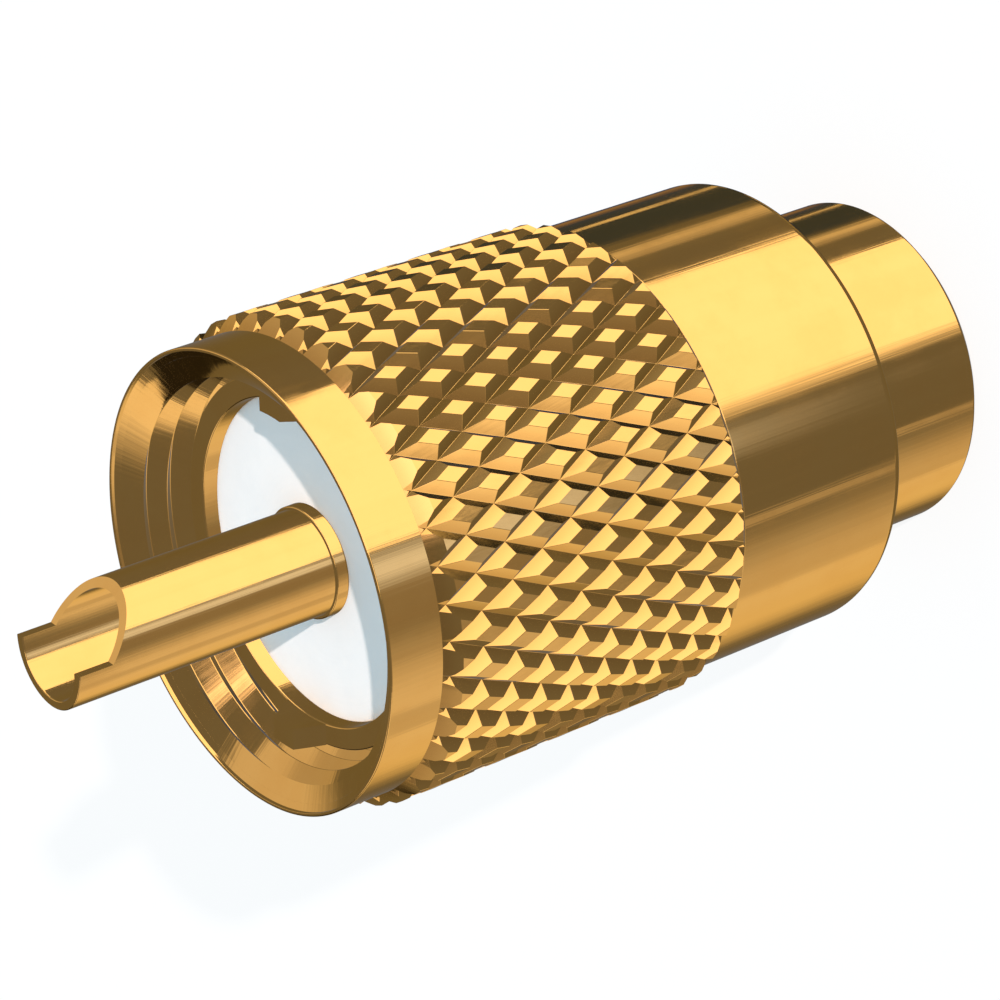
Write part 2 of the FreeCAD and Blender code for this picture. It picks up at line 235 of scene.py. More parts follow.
def rounded(corners, steps=6, hold=0.03 * MM):
    """The corners (radius, height, rounding) as points, each rounding an arc with a hold point on either side."""
    points = []
    total = len(corners)
    for k, (r, z, size) in enumerate(corners):
        here = Vector((r, z))
        before = Vector(corners[k - 1][:2]) - here
        after = Vector(corners[(k + 1) % total][:2]) - here
        if size == 0:
            points.append(here)
            continue
        half = before.angle(after) / 2
        reach = size / math.tan(half)
        before_length, after_length = before.length, after.length
        before.normalize()
        after.normalize()
        centre = here + (before + after).normalized() * (size / math.sin(half))
        start, end = here + before * reach - centre, here + after * reach - centre
        sweep = start.angle_signed(end)
        if before_length > 3 * (reach + hold):
            points.append(here + before * (reach + hold))
        for step in range(steps + 1):
            points.append(centre + Matrix.Rotation(-sweep * step / steps, 2) @ start)
        if after_length > 3 * (reach + hold):
            points.append(here + after * (reach + hold))
    return points


def draw_wire(name, points, closed=True):
    """A wire in the XZ plane, drawn by extruding one vertex from point to point."""
    wire = fresh(name, bpy.ops.mesh.primitive_plane_add, size=MM)
    edit_all()
    bpy.ops.mesh.select_mode(type="VERT")
    bpy.ops.mesh.merge(type="CENTER")
    bpy.ops.transform.translate(value=(points[0][0], 0, points[0][1]))
    route = list(points[1:]) + ([points[0]] if closed else [])
    at = points[0]
    for point in route:
        move = (point[0] - at[0], 0, point[1] - at[1])
        bpy.ops.mesh.extrude_region_move(TRANSFORM_OT_translate={"value": move})
        at = point
    bpy.ops.mesh.select_all(action="SELECT")
    bpy.ops.mesh.remove_doubles(threshold=MERGED)
    return wire


def cut_off(height, way, fill=False):
    """Cuts off what lies above the height (way 1) or below it (way -1), on the mesh that is being edited."""
    bpy.ops.mesh.select_all(action="SELECT")
    bpy.ops.mesh.bisect(
        plane_co=(0, 0, height), plane_no=(0, 0, way), clear_outer=True, use_fill=fill, threshold=TOUCHING)


def close_up():
    """Merges what touches and turns the faces outwards, on the mesh that is being edited."""
    bpy.ops.mesh.select_all(action="SELECT")
    bpy.ops.mesh.remove_doubles(threshold=MERGED)
    bpy.ops.mesh.normals_make_consistent(inside=False)
    bpy.ops.object.mode_set(mode="OBJECT")


def turn_on_lathe(name, corners, segments=192, steps=6):
    """A closed turned shape, spun about the plug's axis from its half section."""
    turned = draw_wire(name, rounded(corners, steps))
    bpy.ops.mesh.select_all(action="SELECT")
    bpy.ops.mesh.spin(steps=segments, angle=TURN, center=(0, 0, 0), axis=(0, 0, 1))
    close_up()
    return turned


def cut_with(obj, tool, operation="DIFFERENCE"):
    """Cuts obj with the tool, or keeps what they share, and takes the tool away."""
    only(obj)
    bpy.ops.object.modifier_add(type="BOOLEAN")
    cut = obj.modifiers[-1]
    cut.operation = operation
    cut.solver = "EXACT"
    cut.object = tool
    bpy.ops.object.modifier_apply(modifier=cut.name)
    bpy.data.objects.remove(tool)
    if len(obj.data.polygons) == 0:
        raise RuntimeError(f"nothing is left of {obj.name} after the cut")
    return obj


def joined(obj, *others):
    """One piece made of several, under the first one's name."""
    only(obj)
    for other in others:
        other.select_set(True)
    bpy.ops.object.join()
    return obj


def smooth(obj, limit=TURNED):
    only(obj)
    bpy.ops.object.shade_smooth_by_angle(angle=math.radians(limit))


def select_edges(obj, wanted):
    """In edit mode, selects just the edges whose two ends pass the test."""
    only(obj)
    bpy.ops.object.mode_set(mode="EDIT")
    bpy.ops.mesh.select_mode(type="EDGE")
    bpy.ops.mesh.select_all(action="DESELECT")
    bpy.ops.object.mode_set(mode="OBJECT")
    for edge in obj.data.edges:
        edge.select = wanted([obj.data.vertices[v].co for v in edge.vertices])
    bpy.ops.object.mode_set(mode="EDIT")


def thread_ring(name, crest, root, wall, pitch, low, high, crest_height, segments=128):
    """A closed ring with a right-handed thread on the side away from its plain wall.

    One pitch of the profile is screwed along the axis, cut square at both ends and closed with the wall.
    The crest height is where the middle of a crest lies at the azimuth 0.
    """
    crest_flat = root_flat = 0.03 * pitch
    flank = (pitch - crest_flat - root_flat) / 2
    start = crest_height - crest_flat / 2
    start -= math.ceil((start - low + pitch) / pitch) * pitch
    profile = [
        (crest, start), (crest, start + crest_flat), (root, start + crest_flat + flank),
        (root, start + crest_flat + flank + root_flat), (crest, start + pitch),
    ]
    ring = draw_wire(name, profile, closed=False)
    bpy.ops.object.mode_set(mode="OBJECT")
    bpy.ops.object.modifier_add(type="SCREW")
    screw = ring.modifiers[-1]
    screw.axis = "Z"
    screw.steps = screw.render_steps = segments
    screw.screw_offset = pitch
    screw.iterations = math.ceil((high - start) / pitch) + 2
    screw.use_merge_vertices = True
    screw.merge_threshold = MERGED
    bpy.ops.object.modifier_apply(modifier=screw.name)
    edit_all()
    bpy.ops.mesh.remove_doubles(threshold=MERGED)
    for height, way in ((low, -1), (high, 1)):
        cut_off(height, way)
        select_edges(ring, lambda ends: all(abs(end.z - height) < TOUCHING for end in ends))
        bpy.ops.mesh.extrude_edges_move()
        bpy.ops.object.mode_set(mode="OBJECT")
        for vertex in ring.data.vertices:
            if vertex.select:
                vertex.co.xy = vertex.co.xy.normalized() * wall
        bpy.ops.object.mode_set(mode="EDIT")
    select_edges(ring, lambda ends: all(abs(end.xy.length - wall) < TOUCHING for end in ends))
    bpy.ops.mesh.bridge_edge_loops()
    close_up()
    return ring


# Materials: node groups that several of them use


def built_once(name):
    """Marks a function that builds a node group of this name: it is built once and found again after that."""
    def marked(build):
        def found():
            return bpy.data.node_groups[name] if name in bpy.data.node_groups else build(name)
        return found
    return marked


def new_group(name, inputs, outputs):
    """An empty group with sockets for these numbers, and the two nodes that its links start and end at."""
    group = bpy.data.node_groups.new(name, "ShaderNodeTree")
    for label, default in inputs.items():
        socket = group.interface.new_socket(name=label, in_out="INPUT", socket_type="NodeSocketFloat")
        socket.default_value = default
    for label in outputs:
        group.interface.new_socket(name=label, in_out="OUTPUT", socket_type="NodeSocketFloat")
    return group, group.nodes.new("NodeGroupInput"), group.nodes.new("NodeGroupOutput")


def add_node(tree, kind, **values):
    """A new shader node, with these values on its inputs."""
    node = tree.nodes.new("ShaderNode" + kind)
    for label, value in values.items():
        node.inputs[label.title()].default_value = value
    return node


def math_node(tree, operation, first, second=None):
    node = add_node(tree, "Math")
    node.operation = operation
    for socket, source in zip(node.inputs, (first, second)):
        if source is None:
            continue
        if isinstance(source, (int, float)):
            socket.default_value = source
        else:
            tree.links.new(source, socket)
    return node.outputs[0]


def times(tree, first, second):
    return math_node(tree, "MULTIPLY", first, second)


def plus(tree, first, second):
    return math_node(tree, "ADD", first, second)


def mixed(tree, factor, first, second):
    """Two colours mixed by a factor."""
    node = add_node(tree, "Mix")
    node.data_type = "RGBA"
    for socket, source in ((node.inputs["Factor"], factor), (node.inputs[6], first), (node.inputs[7], second)):
        if isinstance(source, bpy.types.NodeSocket):
            tree.links.new(source, socket)
        else:
            socket.default_value = source
    return node.outputs[2]


def ranged(tree, source, low, high, to_low=0.0, to_high=1.0):
    """The source's low to high laid out to another range, smoothly."""
    node = add_node(tree, "MapRange")
    node.interpolation_type = "SMOOTHSTEP"
    tree.links.new(source, node.inputs["Value"])
    for label, given in (("From Min", low), ("From Max", high), ("To Min", to_low), ("To Max", to_high)):
        if isinstance(given, bpy.types.NodeSocket):
            tree.links.new(given, node.inputs[label])
        else:
            node.inputs[label].default_value = given
    return node.outputs["Result"]


def noise(tree, vector, scale, detail, roughness):
    node = add_node(tree, "TexNoise", scale=scale, detail=detail, roughness=roughness)
    tree.links.new(vector, node.inputs["Vector"])
    return node.outputs["Fac"]


@built_once("Drawn marks")
def lathe_marks_group(name):
    """Marks that follow the lathe: drawn out round the axis or along it, by their two scales."""
    group, given, out = new_group(name, {"Round": 20.0, "Along": 100.0}, ("Marks", "Broad marks"))
    place = add_node(group, "TexCoord")
    parts = add_node(group, "SeparateXYZ")
    group.links.new(place.outputs["Object"], parts.inputs[0])
    x, y, z = parts.outputs
    radius = math_node(group, "SQRT", plus(group, times(group, x, x), times(group, y, y)))
    radius = math_node(group, "MAXIMUM", radius, 0.01 * MM)
    joined_up = add_node(group, "CombineXYZ")
    round_x = times(group, math_node(group, "DIVIDE", x, radius), given.outputs["Round"])
    round_y = times(group, math_node(group, "DIVIDE", y, radius), given.outputs["Round"])
    along = times(group, plus(group, z, radius), given.outputs["Along"])
    for source, socket in zip((round_x, round_y, along), joined_up.inputs):
        group.links.new(source, socket)
    fine = noise(group, joined_up.outputs[0], 1.0, 3.0, 0.6)
    broad = noise(group, joined_up.outputs[0], 0.21, 2.0, 0.5)
    group.links.new(ranged(group, fine, 0.3, 0.7), out.inputs["Marks"])
    group.links.new(ranged(group, broad, 0.3, 0.7), out.inputs["Broad marks"])
    return group


@built_once("Handling")
def handling_group(name):
    """Faint smudges and fine dust specks, from the piece's own place."""
    group, given, out = new_group(name, {"Smudge size": 3.0, "Speck size": 0.2}, ("Smudge", "Specks"))
    place = add_node(group, "TexCoord")
    sized = []
    for label in ("Smudge size", "Speck size"):
        scaled = add_node(group, "VectorMath")
        scaled.operation = "SCALE"
        group.links.new(place.outputs["Object"], scaled.inputs[0])
        per_mm = math_node(group, "DIVIDE", 1 / MM, given.outputs[label])
        group.links.new(per_mm, scaled.inputs["Scale"])
        sized.append(scaled.outputs[0])
    smudge = noise(group, sized[0], 1.0, 4.0, 0.62)
    specks = noise(group, sized[1], 1.0, 1.0, 0.4)
    group.links.new(ranged(group, smudge, 0.38, 0.68), out.inputs["Smudge"])
    group.links.new(ranged(group, specks, 0.70, 0.80), out.inputs["Specks"])
    return group


@built_once("Depth round axis")
def depth_group(name):
    """A mask that is 0 at one distance from the axis and 1 at another."""
    group, given, out = new_group(name, {"Inner": 8 * MM, "Outer": 9 * MM}, ("Height",))
    place = add_node(group, "TexCoord")
    flat = add_node(group, "VectorMath")
    flat.operation = "MULTIPLY"
    group.links.new(place.outputs["Object"], flat.inputs[0])
    flat.inputs[1].default_value = (1, 1, 0)
    size = add_node(group, "VectorMath")
    size.operation = "LENGTH"
    group.links.new(flat.outputs[0], size.inputs[0])
    height = ranged(group, size.outputs["Value"], given.outputs["Inner"], given.outputs["Outer"])
    group.links.new(height, out.inputs["Height"])
    return group


def placed(tree, group, **given):
    """The group in a material, with the values that this material gives it."""
    node = add_node(tree, "Group")
    node.node_tree = group
    for label, value in given.items():
        node.inputs[label.replace("_", " ").capitalize()].default_value = value
    return node


def opaque(rgb):
    return (*rgb, 1.0)


def new_material(name, empty=False):
    """A material and its node tree, with or without Blender's own first shader."""
    material = bpy.data.materials.new(name)
    material.use_nodes = True
    if empty:
        material.node_tree.nodes.clear()
    return material, material.node_tree


def finished(tree, tone, rough, height, bump):
    """Joins the shader to its colour, its roughness and a relief as high as the bump."""
    shader = tree.nodes["Principled BSDF"]
    relief = add_node(tree, "Bump", strength=1.0, distance=bump)
    for source, socket in (
            (tone, shader.inputs["Base Color"]), (rough, shader.inputs["Roughness"]),
            (height, relief.inputs["Height"]), (relief.outputs["Normal"], shader.inputs["Normal"])):
        tree.links.new(source, socket)


def plated_gold(name, round_scale, along_scale, bump, grooves=None):
    """Polished gold plating with drawn marks and smudges; grooves is (inner, outer), between which painted shade
    darkens the gold inwards.
    """
    finish = bpy.context.scene.plug_finishes
    material, tree = new_material(name)
    shader = tree.nodes["Principled BSDF"]
    shader.inputs["Metallic"].default_value = 1.0
    shader.inputs["Specular Tint"].default_value = opaque(finish.edge_gold)
    marks = placed(tree, lathe_marks_group(), round=round_scale, along=along_scale)
    handled = placed(tree, handling_group(), smudge_size=2.6, speck_size=0.16)
    deep = opaque(finish.deep_gold)
    tone = mixed(tree, times(tree, handled.outputs["Smudge"], 0.35), opaque(finish.gold), deep)
    tone = mixed(tree, times(tree, marks.outputs["Broad marks"], 0.20), tone, deep)
    worn = plus(tree, times(tree, marks.outputs["Marks"], 0.5), times(tree, handled.outputs["Smudge"], 0.5))
    rough = ranged(tree, worn, 0.1, 0.9, 0.06, 0.13)
    # Painted shade: below the outer radius the gold darkens towards the groove colour, most at the inner radius
    if grooves:
        depth = placed(tree, depth_group(), inner=grooves[0], outer=grooves[1]).outputs["Height"]
        painted_groove_shade = math_node(tree, "SUBTRACT", 1.0, depth)
        tone = mixed(tree, times(tree, painted_groove_shade, 0.75), tone, opaque(finish.groove_shade_gold))
        rough = plus(tree, rough, times(tree, painted_groove_shade, 0.06))
    height = plus(tree, marks.outputs["Marks"], times(tree, marks.outputs["Broad marks"], 2.0))
    height = plus(tree, height, times(tree, handled.outputs["Specks"], 0.15))
    finished(tree, tone, rough, height, bump)
    return material


def moulded_white(name):
    """Machined white plastic: faint rings from the tool, faint mottle, soft sheen."""
    finish = bpy.context.scene.plug_finishes
    material, tree = new_material(name)
    shader = tree.nodes["Principled BSDF"]
    shader.inputs["IOR"].default_value = 1.38
    marks = placed(tree, lathe_marks_group(), round=1.5, along=9000.0)
    handled = placed(tree, handling_group(), smudge_size=1.8, speck_size=0.12)
    shade = opaque(finish.insulator_shade)
    tone = mixed(tree, times(tree, handled.outputs["Smudge"], 0.45), opaque(finish.insulator), shade)
    tone = mixed(tree, times(tree, marks.outputs["Marks"], 0.12), tone, shade)
    rough = ranged(tree, handled.outputs["Smudge"], 0.0, 1.0, 0.34, 0.50)
    finished(tree, tone, rough, marks.outputs["Marks"], 0.0015 * MM)
    return material


def dress(piece, material, body, slot, *nodes):
    """Gives a piece its finish, the body it rides on and the CAD nodes that it stands for."""
    piece.data.materials.clear()
    piece.data.materials.append(material)
    piece.visible_glossy = False
    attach(piece, body)
    if nodes:
        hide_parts(*nodes)


# Operators, one for each piece


class PLUG_OT_nut(bpy.types.Operator):
    """Turns the coupling nut and cuts its thread"""

    bl_idname = "plug.nut"
    bl_label = "Coupling nut"

    def execute(self, context):
        s = context.scene.plug_nut
        bed = s.groove_radius + s.groove_flat
        slope = s.lead_depth / (s.groove_radius - s.rim_width - s.thread_crest)
        lead_drop = (s.groove_radius - s.rim_width - s.sleeve_radius) * slope
        lead_start = s.front - s.rim_depth
        nut = turn_on_lathe("nut_turned", [
            (s.bore_radius, s.back, 0.10 * MM),
            (s.smooth_radius, s.back, s.edge_round),
            (s.smooth_radius, s.knurl_back - s.run_out, 0.03 * MM),
            (bed, s.knurl_back - s.run_out, 0),
            (bed, s.knurl_front, 0),
            (s.groove_radius, s.knurl_front + s.rim_edge, 0),
            (s.groove_radius, s.front, s.rim_edge),
            (s.groove_radius - s.rim_width, s.front, 0.02 * MM),
            (s.groove_radius - s.rim_width, lead_start, 0),
            (s.sleeve_radius, lead_start - lead_drop, 0),
            (s.sleeve_radius, s.chamber_top, 0),
            (s.chamber_radius, s.chamber_top, 0),
            (s.chamber_radius, s.chamber_bottom, 0.15 * MM),
            (s.bore_radius, s.chamber_bottom, 0.10 * MM),
        ], segments=256)
        smooth(nut)
        thread = thread_ring(
            "nut_thread", s.thread_crest, s.thread_root, s.sleeve_radius, s.thread_pitch,
            s.chamber_top, lead_start - lead_drop * 0.2, s.first_crest)
        reach = s.groove_radius - s.rim_width
        lead = turn_on_lathe("nut_lead", [
            (NEAR_AXIS, s.front + CLEAR, 0),
            (NEAR_AXIS, lead_start - (reach - NEAR_AXIS) * slope, 0),
            (reach + CLEAR, lead_start + slope * CLEAR, 0),
            (reach + CLEAR, s.front + CLEAR, 0),
        ], segments=128)
        cut_with(thread, lead)
        smooth(thread)
        joined(nut, thread)
        dress(nut, plated_gold("Gold turned", 46.0, 60.0, 0.0009 * MM), "nut", "gold_nut", "coupling_nut")
        return {"FINISHED"}


class PLUG_OT_knurl(bpy.types.Operator):
    """Models one diamond of the knurl and repeats it round and along the nut"""

    bl_idname = "plug.knurl"
    bl_label = "Diamond knurl"

    def execute(self, context):
        s = context.scene.plug_nut
        step = math.pi / s.cells
        half = s.cell_length / 2
        side_x, side_y = s.groove_radius * math.cos(step), s.groove_radius * math.sin(step)
        apex = (s.knurl_radius - s.land * s.groove_radius) / (1 - s.land)
        side_share = 1 - (s.knurl_radius - side_x) / (apex - side_x)

        knurl = fresh(
            "nut_knurl", bpy.ops.mesh.primitive_circle_add,
            vertices=4, radius=1, fill_type="NGON", rotation=(0, math.pi / 2, 0))
        bpy.ops.object.transform_apply(location=False, rotation=True, scale=False)
        edit_all()
        bpy.ops.transform.resize(value=(1, side_y, half), center_override=(0, 0, 0))
        bpy.ops.transform.translate(value=(s.groove_radius, 0, 0))
        bpy.ops.mesh.extrude_region_move(
            TRANSFORM_OT_translate={"value": (s.knurl_radius - s.groove_radius, 0, 0)})
        bpy.ops.transform.resize(
            value=(1, side_share, s.land), center_override=(s.knurl_radius, 0, 0))
        bpy.ops.object.mode_set(mode="OBJECT")
        for vertex in knurl.data.vertices:
            if abs(vertex.co.x - s.groove_radius) < TOUCHING and abs(vertex.co.y) > side_y / 2:
                vertex.co.x = side_x
        select_edges(knurl, lambda ends: any(abs(end.x - s.knurl_radius) < TOUCHING for end in ends))
        bpy.ops.mesh.bevel(offset=s.worn_edge, offset_type="OFFSET", segments=1, affect="EDGES")
        bpy.ops.mesh.select_all(action="SELECT")
        bpy.ops.mesh.spin(
            steps=s.cells - 1, dupli=True, angle=TURN * (s.cells - 1) / s.cells, center=(0, 0, 0), axis=(0, 0, 1))
        bpy.ops.mesh.select_all(action="SELECT")
        rows = math.ceil((s.knurl_front - s.knurl_back) / half) + 3
        bpy.ops.transform.translate(value=(0, 0, s.knurl_back - half))
        for _ in range(1, rows):
            bpy.ops.mesh.duplicate()
            bpy.ops.transform.translate(value=(0, 0, half))
            bpy.ops.transform.rotate(value=step, orient_axis="Z", center_override=(0, 0, 0))
        bpy.ops.mesh.select_all(action="SELECT")
        bpy.ops.mesh.remove_doubles(threshold=MERGED)
        bpy.ops.object.mode_set(mode="OBJECT")
        knurl.rotation_euler.z = s.turn + step
        bpy.ops.object.transform_apply(location=False, rotation=True, scale=False)
        bpy.ops.object.mode_set(mode="EDIT")
        spare = 0.3 * MM
        cut_off(s.knurl_back - spare, -1, fill=True)
        cut_off(s.knurl_front + spare, 1, fill=True)
        close_up()
        foot, over = s.groove_radius - 0.2 * MM, 0.1 * MM
        rear = s.knurl_back - s.run_out
        stock = turn_on_lathe("knurl_stock", [
            (foot, rear, 0),
            (s.smooth_radius, rear, 0),
            (s.knurl_radius + over, rear + s.rear_bevel + over, 0),
            (s.knurl_radius + over, s.knurl_front - s.knurl_bevel - over, 0),
            (s.knurl_radius - s.knurl_bevel, s.knurl_front, 0),
            (foot, s.knurl_front, 0),
        ], segments=240)
        cut_with(knurl, stock, "INTERSECT")
        smooth(knurl, 8)
        # The knurl's gold gets painted shade in its grooves, from the land radius down to the groove radius
        dress(knurl, plated_gold(
            "Gold knurled", 30.0, 900.0, 0.0006 * MM, grooves=(s.groove_radius, s.knurl_radius)), "nut", "gold_nut")
        return {"FINISHED"}


class PLUG_OT_body(bpy.types.Operator):
    """Turns the plug body, drills its solder holes and cuts its teeth and threads"""

    bl_idname = "plug.body"
    bl_label = "Plug body"

    def execute(self, context):
        s = context.scene.plug_body
        core = s.thread_root - 0.06 * MM
        body = turn_on_lathe("body_turned", [
            (s.jacket_wall, 0, 0.05 * MM),
            (s.barrel_radius - s.barrel_edge, 0, 0.10 * MM),
            (s.barrel_radius, s.barrel_edge, 0.14 * MM),
            (s.barrel_radius, s.waist_bottom, 0.05 * MM),
            (s.waist_radius, s.waist_bottom, 0.05 * MM),
            (s.waist_radius, s.waist_top, 0.05 * MM),
            (s.barrel_radius, s.waist_top, 0.05 * MM),
            (s.barrel_radius, s.flange_bottom, 0),
            (core, s.flange_bottom, 0),
            (core, s.flange_top, 0),
            (s.collar_radius, s.flange_top, 0),
            (s.collar_radius, s.collar_face, 0.06 * MM),
            (s.collar_bore, s.collar_face, 0.06 * MM),
            (s.collar_bore, s.seat, 0),
            (s.braid_radius, s.seat, 0.05 * MM),
            (s.braid_radius, s.jacket_depth, 0.05 * MM),
            (s.jacket_wall, s.jacket_depth, 0),
        ], segments=192)
        height = (s.waist_bottom + s.waist_top) / 2
        for spin in ((0, math.pi / 2, 0), (math.pi / 2, 0, 0)):
            cut_with(body, fresh(
                "hole_drill", bpy.ops.mesh.primitive_cylinder_add, (0, 0, height),
                vertices=64, radius=s.hole_radius, depth=4 * s.barrel_radius, rotation=spin))
        smooth(body)

        teeth = turn_on_lathe("body_teeth", [
            (s.collar_bore, s.collar_face - 0.1 * MM, 0),
            (s.collar_radius, s.collar_face - 0.1 * MM, 0),
            (s.collar_radius, s.tooth_tip, 0),
            (s.collar_bore, s.tooth_tip, 0),
        ], segments=384)
        cutter = fresh("tooth_outline", bpy.ops.mesh.primitive_cube_add, size=1)
        rise = s.tooth_tip - s.collar_face
        edit_all()
        bpy.ops.transform.resize(
            value=(s.tooth_foot_width, 4 * s.collar_radius, 2 * rise), center_override=(0, 0, 0))
        bpy.ops.transform.translate(value=(0, 0, s.tooth_tip))
        bpy.ops.object.mode_set(mode="OBJECT")
        for vertex in cutter.data.vertices:
            if vertex.co.z > s.tooth_tip:
                vertex.co.x *= max(2 * s.tooth_tip_width / s.tooth_foot_width - 1, 0.01)
        cut_with(teeth, cutter, "INTERSECT")
        smooth(teeth, 20)

        jacket = thread_ring(
            "jacket_thread", s.jacket_crest, s.jacket_root, s.jacket_wall, s.jacket_pitch,
            0.02 * MM, s.jacket_depth, 0, segments=96)
        sink = turn_on_lathe("jacket_sink", [
            (NEAR_AXIS, -CLEAR, 0),
            (s.jacket_crest + s.jacket_lead + CLEAR, -CLEAR, 0),
            (NEAR_AXIS, s.jacket_crest + s.jacket_lead - NEAR_AXIS, 0),
        ], segments=96)
        cut_with(jacket, sink)
        smooth(jacket)

        flange = thread_ring(
            "flange_thread", s.thread_crest, s.thread_root, core - 0.1 * MM, s.thread_pitch,
            s.flange_bottom, s.flange_top, s.flange_bottom, segments=96)
        stock = turn_on_lathe("flange_stock", [
            (core - 0.3 * MM, s.flange_bottom - 0.01 * MM, 0),
            (s.thread_crest - s.flange_edge, s.flange_bottom - 0.01 * MM, 0),
            (s.thread_crest + 0.1 * MM, s.flange_bottom + s.flange_edge + 0.1 * MM, 0),
            (s.thread_crest + 0.1 * MM, s.flange_top - s.flange_edge - 0.1 * MM, 0),
            (s.thread_crest - s.flange_edge, s.flange_top + 0.01 * MM, 0),
            (core - 0.3 * MM, s.flange_top + 0.01 * MM, 0),
        ], segments=96)
        cut_with(flange, stock, "INTERSECT")
        smooth(flange)

        joined(body, teeth, jacket, flange)
        dress(body, plated_gold("Gold barrel", 40.0, 80.0, 0.0009 * MM), "body", "gold_body", "plug_body")
        return {"FINISHED"}


class PLUG_OT_insulator(bpy.types.Operator):
    """Turns the white insulator"""

    bl_idname = "plug.insulator"
    bl_label = "Insulator"

    def execute(self, context):
        s = context.scene.plug_insulator
        disc = turn_on_lathe("insulator_turned", [
            (s.bore_radius, s.back, s.edge_round),
            (s.radius, s.back, s.edge_round),
            (s.radius, s.face, s.edge_round),
            (s.bore_radius, s.face, s.edge_round),
        ], segments=192, steps=10)
        smooth(disc)
        dress(disc, moulded_white("Insulator white"), "body", "white_insulator", "insulator")
        return {"FINISHED"}


class PLUG_OT_contact(bpy.types.Operator):
    """Turns the centre contact and cuts its solder scoop"""

    bl_idname = "plug.contact"
    bl_label = "Centre contact"

    def execute(self, context):
        s = context.scene.plug_contact
        inside = s.radius - s.wall
        seat = context.scene.plug_insulator
        contact = turn_on_lathe("contact_turned", [
            (inside, s.back + s.flare_width / 2, 0.05 * MM),
            (s.flare_radius - s.wall, s.back, 0.05 * MM),
            (s.flare_radius, s.back, 0.10 * MM),
            (s.flare_radius, seat.back, 0.10 * MM),
            (s.radius, seat.back, 0),
            (s.radius, seat.face, 0),
            (s.collar_radius, seat.face, 0.04 * MM),
            (s.collar_radius, seat.face + s.collar_width, 0.05 * MM),
            (s.radius, seat.face + s.collar_width, 0),
            (s.radius, s.tip, 0.04 * MM),
            (inside, s.tip, 0.04 * MM),
        ], segments=128)
        cutter = fresh("scoop_outline", bpy.ops.mesh.primitive_cube_add, size=1)
        foot = s.tip - s.scoop_length
        over = 2 * s.radius
        edit_all()
        bpy.ops.transform.resize(value=(4 * s.radius, over, s.scoop_length + s.wall), center_override=(0, 0, 0))
        bpy.ops.transform.translate(value=(0, -over / 2, foot + (s.scoop_length + s.wall) / 2))
        bpy.ops.object.mode_set(mode="OBJECT")
        for vertex in cutter.data.vertices:
            if vertex.co.y < -over / 2 and vertex.co.z < foot + s.wall:
                vertex.co.z -= 2 * s.scoop_slant
        cut_with(contact, cutter)
        smooth(contact)
        dress(contact, plated_gold("Gold contact", 26.0, 90.0, 0.0009 * MM), "body", "gold_contact", "centre_contact")
        return {"FINISHED"}


# Studio


def direction(azimuth, elevation):
    """The unit vector towards an azimuth, counted from +X towards +Y, and an elevation, both in degrees."""
    a, e = math.radians(azimuth), math.radians(elevation)
    return Vector((math.cos(a) * math.cos(e), math.sin(a) * math.cos(e), math.sin(e)))


@built_once("Soft edges")
def soft_edges_group(name):
    """How far a point of a card lies inside its four edges, each of them faded over its own share of the card."""
    sides = ("Left", "Right", "Bottom", "Top")
    group, given, out = new_group(name, dict.fromkeys(sides, 0.1), ("Inside",))
    place = add_node(group, "UVMap")
    parts = add_node(group, "SeparateXYZ")
    group.links.new(place.outputs[0], parts.inputs[0])
    across, upward = parts.outputs[0], parts.outputs[1]
    inside = None
    for side, way in zip(sides, (
            across, math_node(group, "SUBTRACT", 1.0, across), upward, math_node(group, "SUBTRACT", 1.0, upward))):
        fade = ranged(group, way, 0.0, given.outputs[side])
        inside = fade if inside is None else times(group, inside, fade)
    group.links.new(inside, out.inputs["Inside"])
    return group


def mixed_shaders(tree, factor, first, second):
    mix = add_node(tree, "MixShader")
    for source, socket in zip((factor, first, second), mix.inputs):
        tree.links.new(source, socket)
    return mix.outputs[0]


def put_out(tree, surface, kind="OutputMaterial"):
    tree.links.new(surface, add_node(tree, kind).inputs["Surface"])


def looked_at(tree):
    """1 for what the camera, a mirror or glass looks at, 0 for what lights the plug."""
    seen = add_node(tree, "LightPath")
    mirrored = math_node(tree, "MAXIMUM", seen.outputs["Is Glossy Ray"], seen.outputs["Is Transmission Ray"])
    return math_node(tree, "MAXIMUM", seen.outputs["Is Camera Ray"], mirrored)


def glowing(name, strength, tint=WHITE, soft=None):
    """A plain glow for a studio card, clear towards its soft edges."""
    material, tree = new_material(name, empty=True)
    surface = add_node(tree, "Emission", color=opaque(tint), strength=strength).outputs[0]
    if soft:
        edges = placed(tree, soft_edges_group(), left=soft[0], right=soft[1], bottom=soft[2], top=soft[3])
        clear = add_node(tree, "BsdfTransparent").outputs[0]
        surface = mixed_shaders(tree, edges.outputs["Inside"], clear, surface)
    put_out(tree, surface)
    material.cycles.emission_sampling = "NONE"
    return material


def only_in_mirrors(obj):
    """Lets an object light nothing and throw no shadow, so that only the polished metal shows it."""
    obj.visible_camera = obj.visible_diffuse = obj.visible_shadow = False
    obj.visible_transmission = obj.visible_volume_scatter = False


def card(name, corners, distance, strength, tint=WHITE, soft=(0.03, 0.03, 0.03, 0.03)):
    """A card bent round the plug, which the table of cards describes."""
    plane = fresh(name, bpy.ops.mesh.primitive_plane_add, size=1)
    edit_all()
    bpy.ops.mesh.subdivide(number_cuts=11)
    bpy.ops.object.mode_set(mode="OBJECT")
    for vertex in plane.data.vertices:
        across, upward = vertex.co.x + 0.5, vertex.co.y + 0.5
        shares = ((1 - across) * (1 - upward), across * (1 - upward), across * upward, (1 - across) * upward)
        azimuth = sum(part * corner[0] for part, corner in zip(shares, corners))
        elevation = sum(part * corner[1] for part, corner in zip(shares, corners))
        vertex.co = direction(azimuth, elevation) * distance
    plane.data.materials.append(glowing(name, strength, tint, soft))
    only_in_mirrors(plane)


